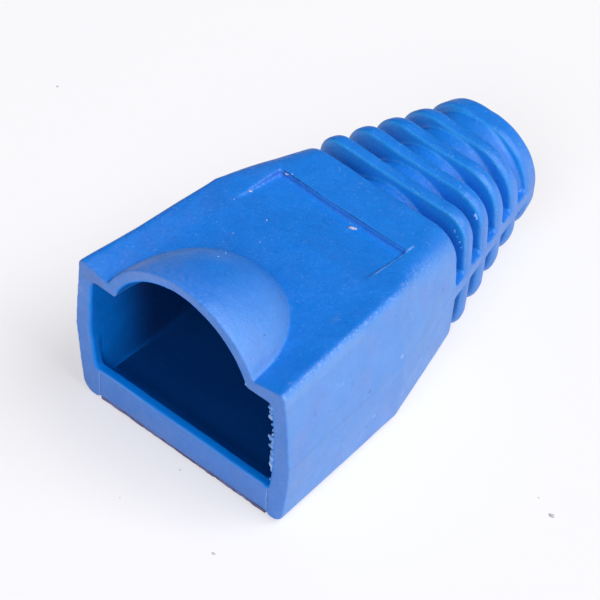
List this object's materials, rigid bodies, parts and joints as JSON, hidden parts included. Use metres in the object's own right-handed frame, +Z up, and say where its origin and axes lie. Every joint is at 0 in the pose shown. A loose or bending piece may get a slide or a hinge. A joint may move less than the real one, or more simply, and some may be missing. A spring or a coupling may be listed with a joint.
{
  "type": "rj45 strain relief boot",
  "caption": "One-piece blue slide-on boot for an RJ45 plug: plug housing with an arched latch hood over its mouth, and a slotted, ribbed neck that keeps the cable from bending sharply.",
  "frame": {"origin": "middle of the bounding box's underside: on the flat underside, half-way from the mouth to the cable end and on the boot's middle plane", "axes": "+Y from the plug mouth to the cable end, +Z up from the flat underside to the latch hood, +X across the boot"},
  "size_m": [0.014, 0.0234, 0.0115],
  "materials": {
    "boot": "satin, soft PVC"
  },
  "bodies": {
    "root": {"boot": "boot"}
  },
  "joints": []
}
